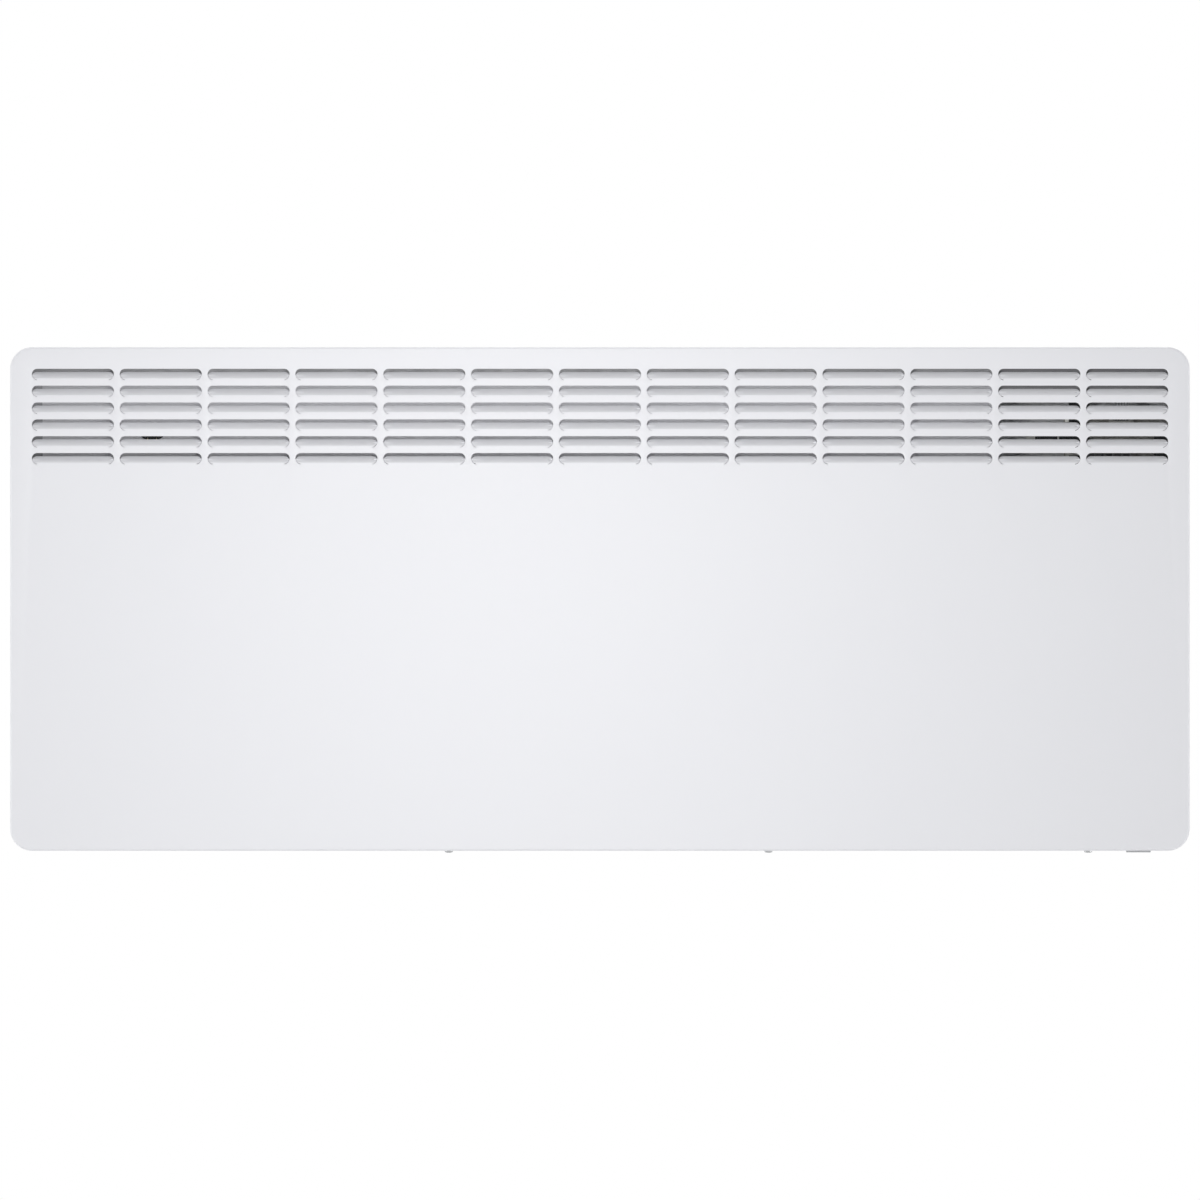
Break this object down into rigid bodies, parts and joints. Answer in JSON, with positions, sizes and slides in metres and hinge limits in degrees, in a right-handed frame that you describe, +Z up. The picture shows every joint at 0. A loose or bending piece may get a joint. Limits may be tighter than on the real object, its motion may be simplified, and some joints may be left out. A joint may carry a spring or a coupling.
{
  "type": "wall panel convector heater",
  "caption": "Wide flat electric panel convector with a stamped louvre grille along its top, hung on a wall frame, with a top control panel and a rocker switch underneath.",
  "frame": {"origin": "on the wall plane, at the middle of the wall frame's four fixing holes, level with the middle of the cover", "axes": "+X to the right seen from the room, +Y into the wall, +Z up"},
  "size_m": [1.05, 0.1, 0.4502],
  "materials": {
    "cover_paint": "satin powder coat",
    "galvanised": "galvanised sheet",
    "frame_steel": "zinc plated",
    "screw_steel": "zinc plated",
    "fin_aluminium": "extruded, bare",
    "rod_steel": "drawn stainless tube",
    "ceramic": "unglazed",
    "black_plastic": "fine matt texture",
    "housing_plastic": "fine matt texture, dark grey",
    "grey_plastic": "fine matt texture",
    "light_plastic": "satin",
    "key_plastic": "satin",
    "window": "tinted clear plastic",
    "display": "liquid crystal cell",
    "circuit_board": "lacquered glass fibre board",
    "power_laminate": "lacquered paper laminate, natural colour",
    "white_nylon": "satin",
    "relay_case": "semi-gloss",
    "capacitor_case": "matt",
    "sink_aluminium": "extruded, black anodised",
    "lead_sleeve": "woven glass fibre sleeve",
    "ribbon": "satin",
    "black_sleeve": "braided polyester sleeve",
    "brass_tab": "bare"
  },
  "bodies": {
    "wall_frame": {"wall_upright_left": "frame_steel", "wall_upright_right": "frame_steel", "wall_rail_upper": "frame_steel", "wall_rail_lower": "frame_steel"},
    "heater": {"front_cover": "cover_paint", "rear_panel": "galvanised", "inlet_panel": "galvanised", "cover_screws": "screw_steel", "wall_spacers": "grey_plastic", "duct_end_plate": "galvanised", "partition_plate": "galvanised", "rear_heat_shield": "galvanised", "front_baffle": "galvanised", "air_deflector": "galvanised", "element_fins": "fin_aluminium", "heater_rod": "rod_steel", "insulator_left": "ceramic", "insulator_right": "ceramic", "thermal_cutout": "black_plastic", "element_lead_left": "lead_sleeve", "element_lead_right": "lead_sleeve", "control_housing": "housing_plastic", "display_window": "window", "control_board": "circuit_board", "display_module": "display", "key_switches": "black_plastic", "power_board": "power_laminate", "board_standoffs": "white_nylon", "relays": "relay_case", "capacitor": "capacitor_case", "heat_sink": "sink_aluminium", "ribbon_connector": "white_nylon", "control_ribbon": "ribbon", "control_harness": "black_sleeve", "power_plug": "white_nylon", "service_plug": "white_nylon", "terminal_block": "white_nylon", "cable_gland": "black_plastic", "earth_terminal": "brass_tab", "sensor_clip": "white_nylon", "room_sensor": "black_plastic", "switch_housing": "light_plastic"},
    "key_menu_cap": {"key_menu": "key_plastic"},
    "key_plus_cap": {"key_plus": "key_plastic"},
    "key_ok_cap": {"key_ok": "key_plastic"},
    "key_minus_cap": {"key_minus": "key_plastic"},
    "rocker": {"switch_rocker": "light_plastic"}
  },
  "joints": [
    {"name": "heater_lift", "type": "slide", "parent": "wall_frame", "child": "heater", "axis": [0, 0, 1], "range_m": [0, 0.013]},
    {"name": "key_menu_press", "type": "slide", "parent": "heater", "child": "key_menu_cap", "axis": [0, 0, -1], "range_m": [0, 0.0006], "stiffness_N_per_m": 1500, "springref_m": -0.0003},
    {"name": "key_plus_press", "type": "slide", "parent": "heater", "child": "key_plus_cap", "axis": [0, 0, -1], "range_m": [0, 0.0006], "stiffness_N_per_m": 1500, "springref_m": -0.0003},
    {"name": "key_ok_press", "type": "slide", "parent": "heater", "child": "key_ok_cap", "axis": [0, 0, -1], "range_m": [0, 0.0006], "stiffness_N_per_m": 1500, "springref_m": -0.0003},
    {"name": "key_minus_press", "type": "slide", "parent": "heater", "child": "key_minus_cap", "axis": [0, 0, -1], "range_m": [0, 0.0006], "stiffness_N_per_m": 1500, "springref_m": -0.0003},
    {"name": "switch_rock", "type": "hinge", "parent": "heater", "child": "rocker", "pos_m": [0.4805, -0.046, -0.22218], "axis": [0, 1, 0], "range_deg": [0, 12]}
  ]
}
